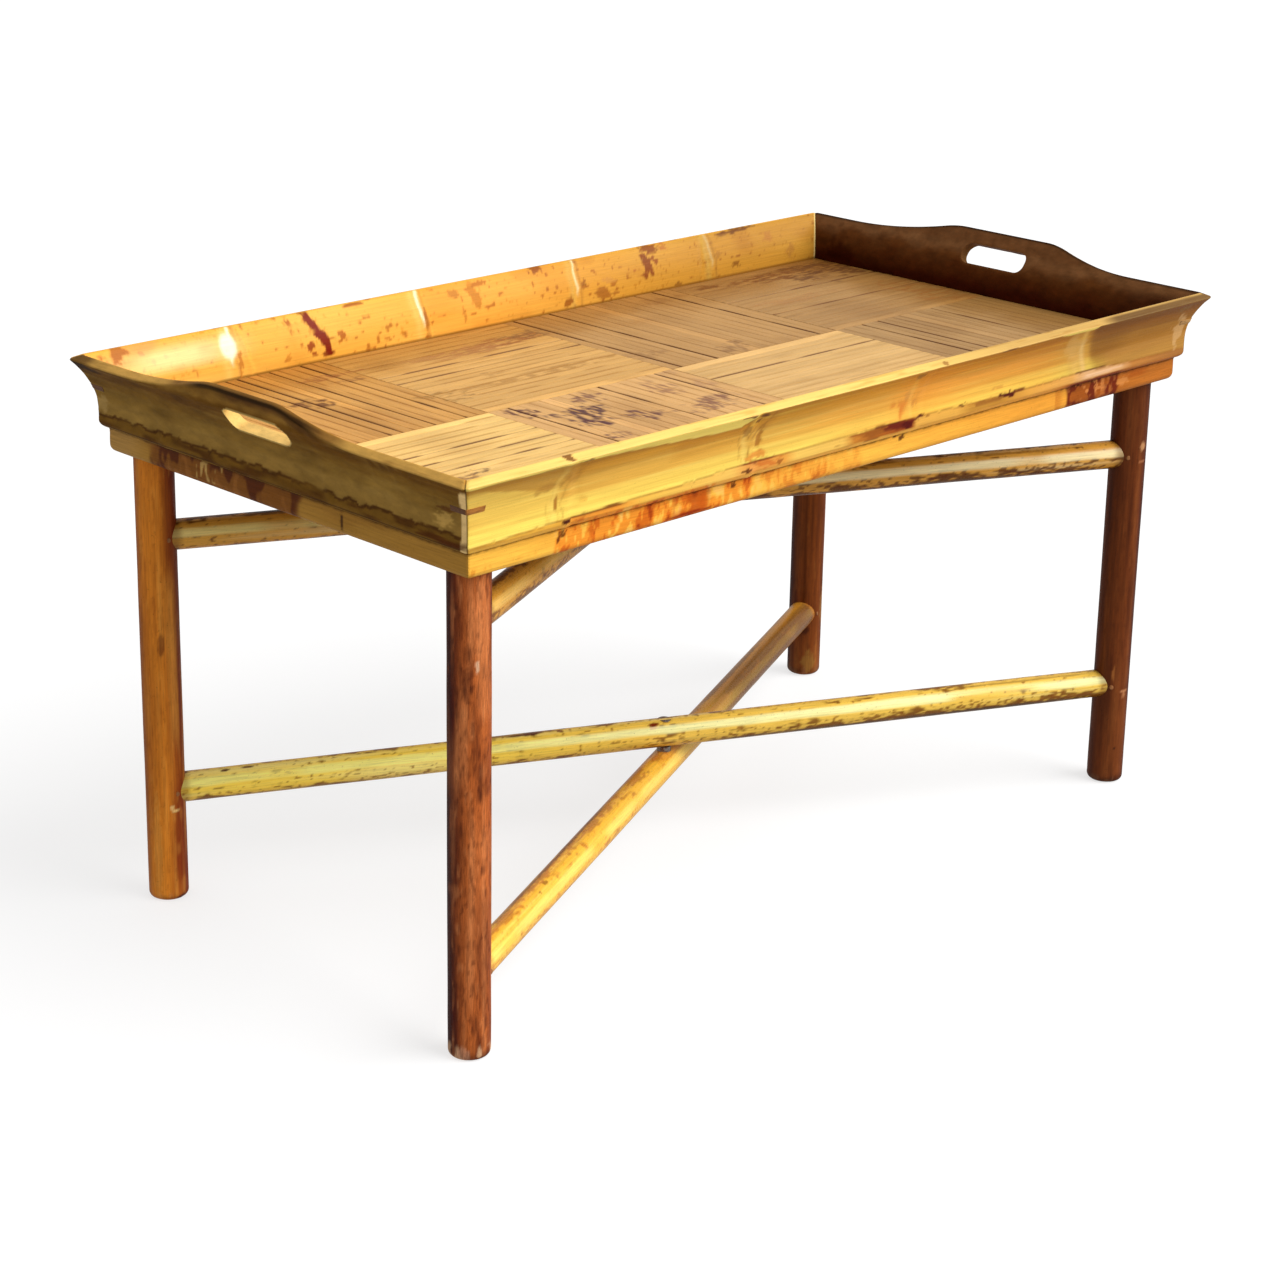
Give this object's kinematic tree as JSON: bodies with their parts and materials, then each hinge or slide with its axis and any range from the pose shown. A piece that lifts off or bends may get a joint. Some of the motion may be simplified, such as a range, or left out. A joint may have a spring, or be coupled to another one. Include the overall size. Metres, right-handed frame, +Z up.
{
  "type": "folding tray-top coffee table",
  "caption": "Rectangular bamboo coffee table: a lift-off flared tray with hand slots and a slatted floor, on a folding stand of crossed round-pole frames.",
  "frame": {"origin": "on the floor under the table's middle, on the axis of the stand's pivots", "axes": "+X along the length, +Y to the back, +Z up"},
  "size_m": [0.919, 0.492, 0.4959],
  "materials": {
    "side_bamboo": "clear lacquer over split bamboo with node rings and scorch marks",
    "skirt_bamboo": "clear lacquer over scorched bamboo",
    "slat_bamboo": "satin lacquer over split slats",
    "panel_plywood": "bare plywood",
    "block_softwood": "bare sawn wood",
    "key_hardwood": "dark stain under lacquer",
    "leg_pole": "dark red-brown stain under lacquer",
    "rod_bamboo": "clear lacquer with brown speckles",
    "peg_hardwood": "dark stain",
    "bolt_steel": "zinc plated, dulled"
  },
  "bodies": {
    "outer_frame": {"front_left_leg": "leg_pole", "back_right_leg": "leg_pole", "outer_lower_rod": "rod_bamboo", "outer_upper_rod": "rod_bamboo", "outer_frame_pegs": "peg_hardwood", "lower_pivot_bolt": "bolt_steel", "lower_pivot_washer": "bolt_steel", "lower_pivot_nut": "bolt_steel", "upper_pivot_bolt": "bolt_steel", "upper_pivot_washer": "bolt_steel", "upper_pivot_nut": "bolt_steel"},
    "inner_frame": {"back_left_leg": "leg_pole", "front_right_leg": "leg_pole", "inner_lower_rod": "rod_bamboo", "inner_upper_rod": "rod_bamboo", "inner_frame_pegs": "peg_hardwood"},
    "tray": {"front_side": "side_bamboo", "back_side": "side_bamboo", "left_end": "side_bamboo", "right_end": "side_bamboo", "front_skirt": "skirt_bamboo", "back_skirt": "skirt_bamboo", "left_skirt": "skirt_bamboo", "right_skirt": "skirt_bamboo", "front_slats_1": "slat_bamboo", "front_slats_2": "slat_bamboo", "front_slats_3": "slat_bamboo", "front_slats_4": "slat_bamboo", "back_slats_1": "slat_bamboo", "back_slats_2": "slat_bamboo", "back_slats_3": "slat_bamboo", "back_slats_4": "slat_bamboo", "floor_panel": "panel_plywood", "front_left_corner_block": "block_softwood", "front_right_corner_block": "block_softwood", "back_left_corner_block": "block_softwood", "back_right_corner_block": "block_softwood", "corner_keys": "key_hardwood"}
  },
  "joints": [
    {"name": "stand_fold", "type": "hinge", "parent": "outer_frame", "child": "inner_frame", "pos_m": [0, 0, 0], "axis": [0, 0, 1], "range_deg": [0, 46.5]},
    {"name": "tray_lift", "type": "slide", "parent": "outer_frame", "child": "tray", "axis": [0, 0, 1], "range_m": [0, 0.25]}
  ]
}
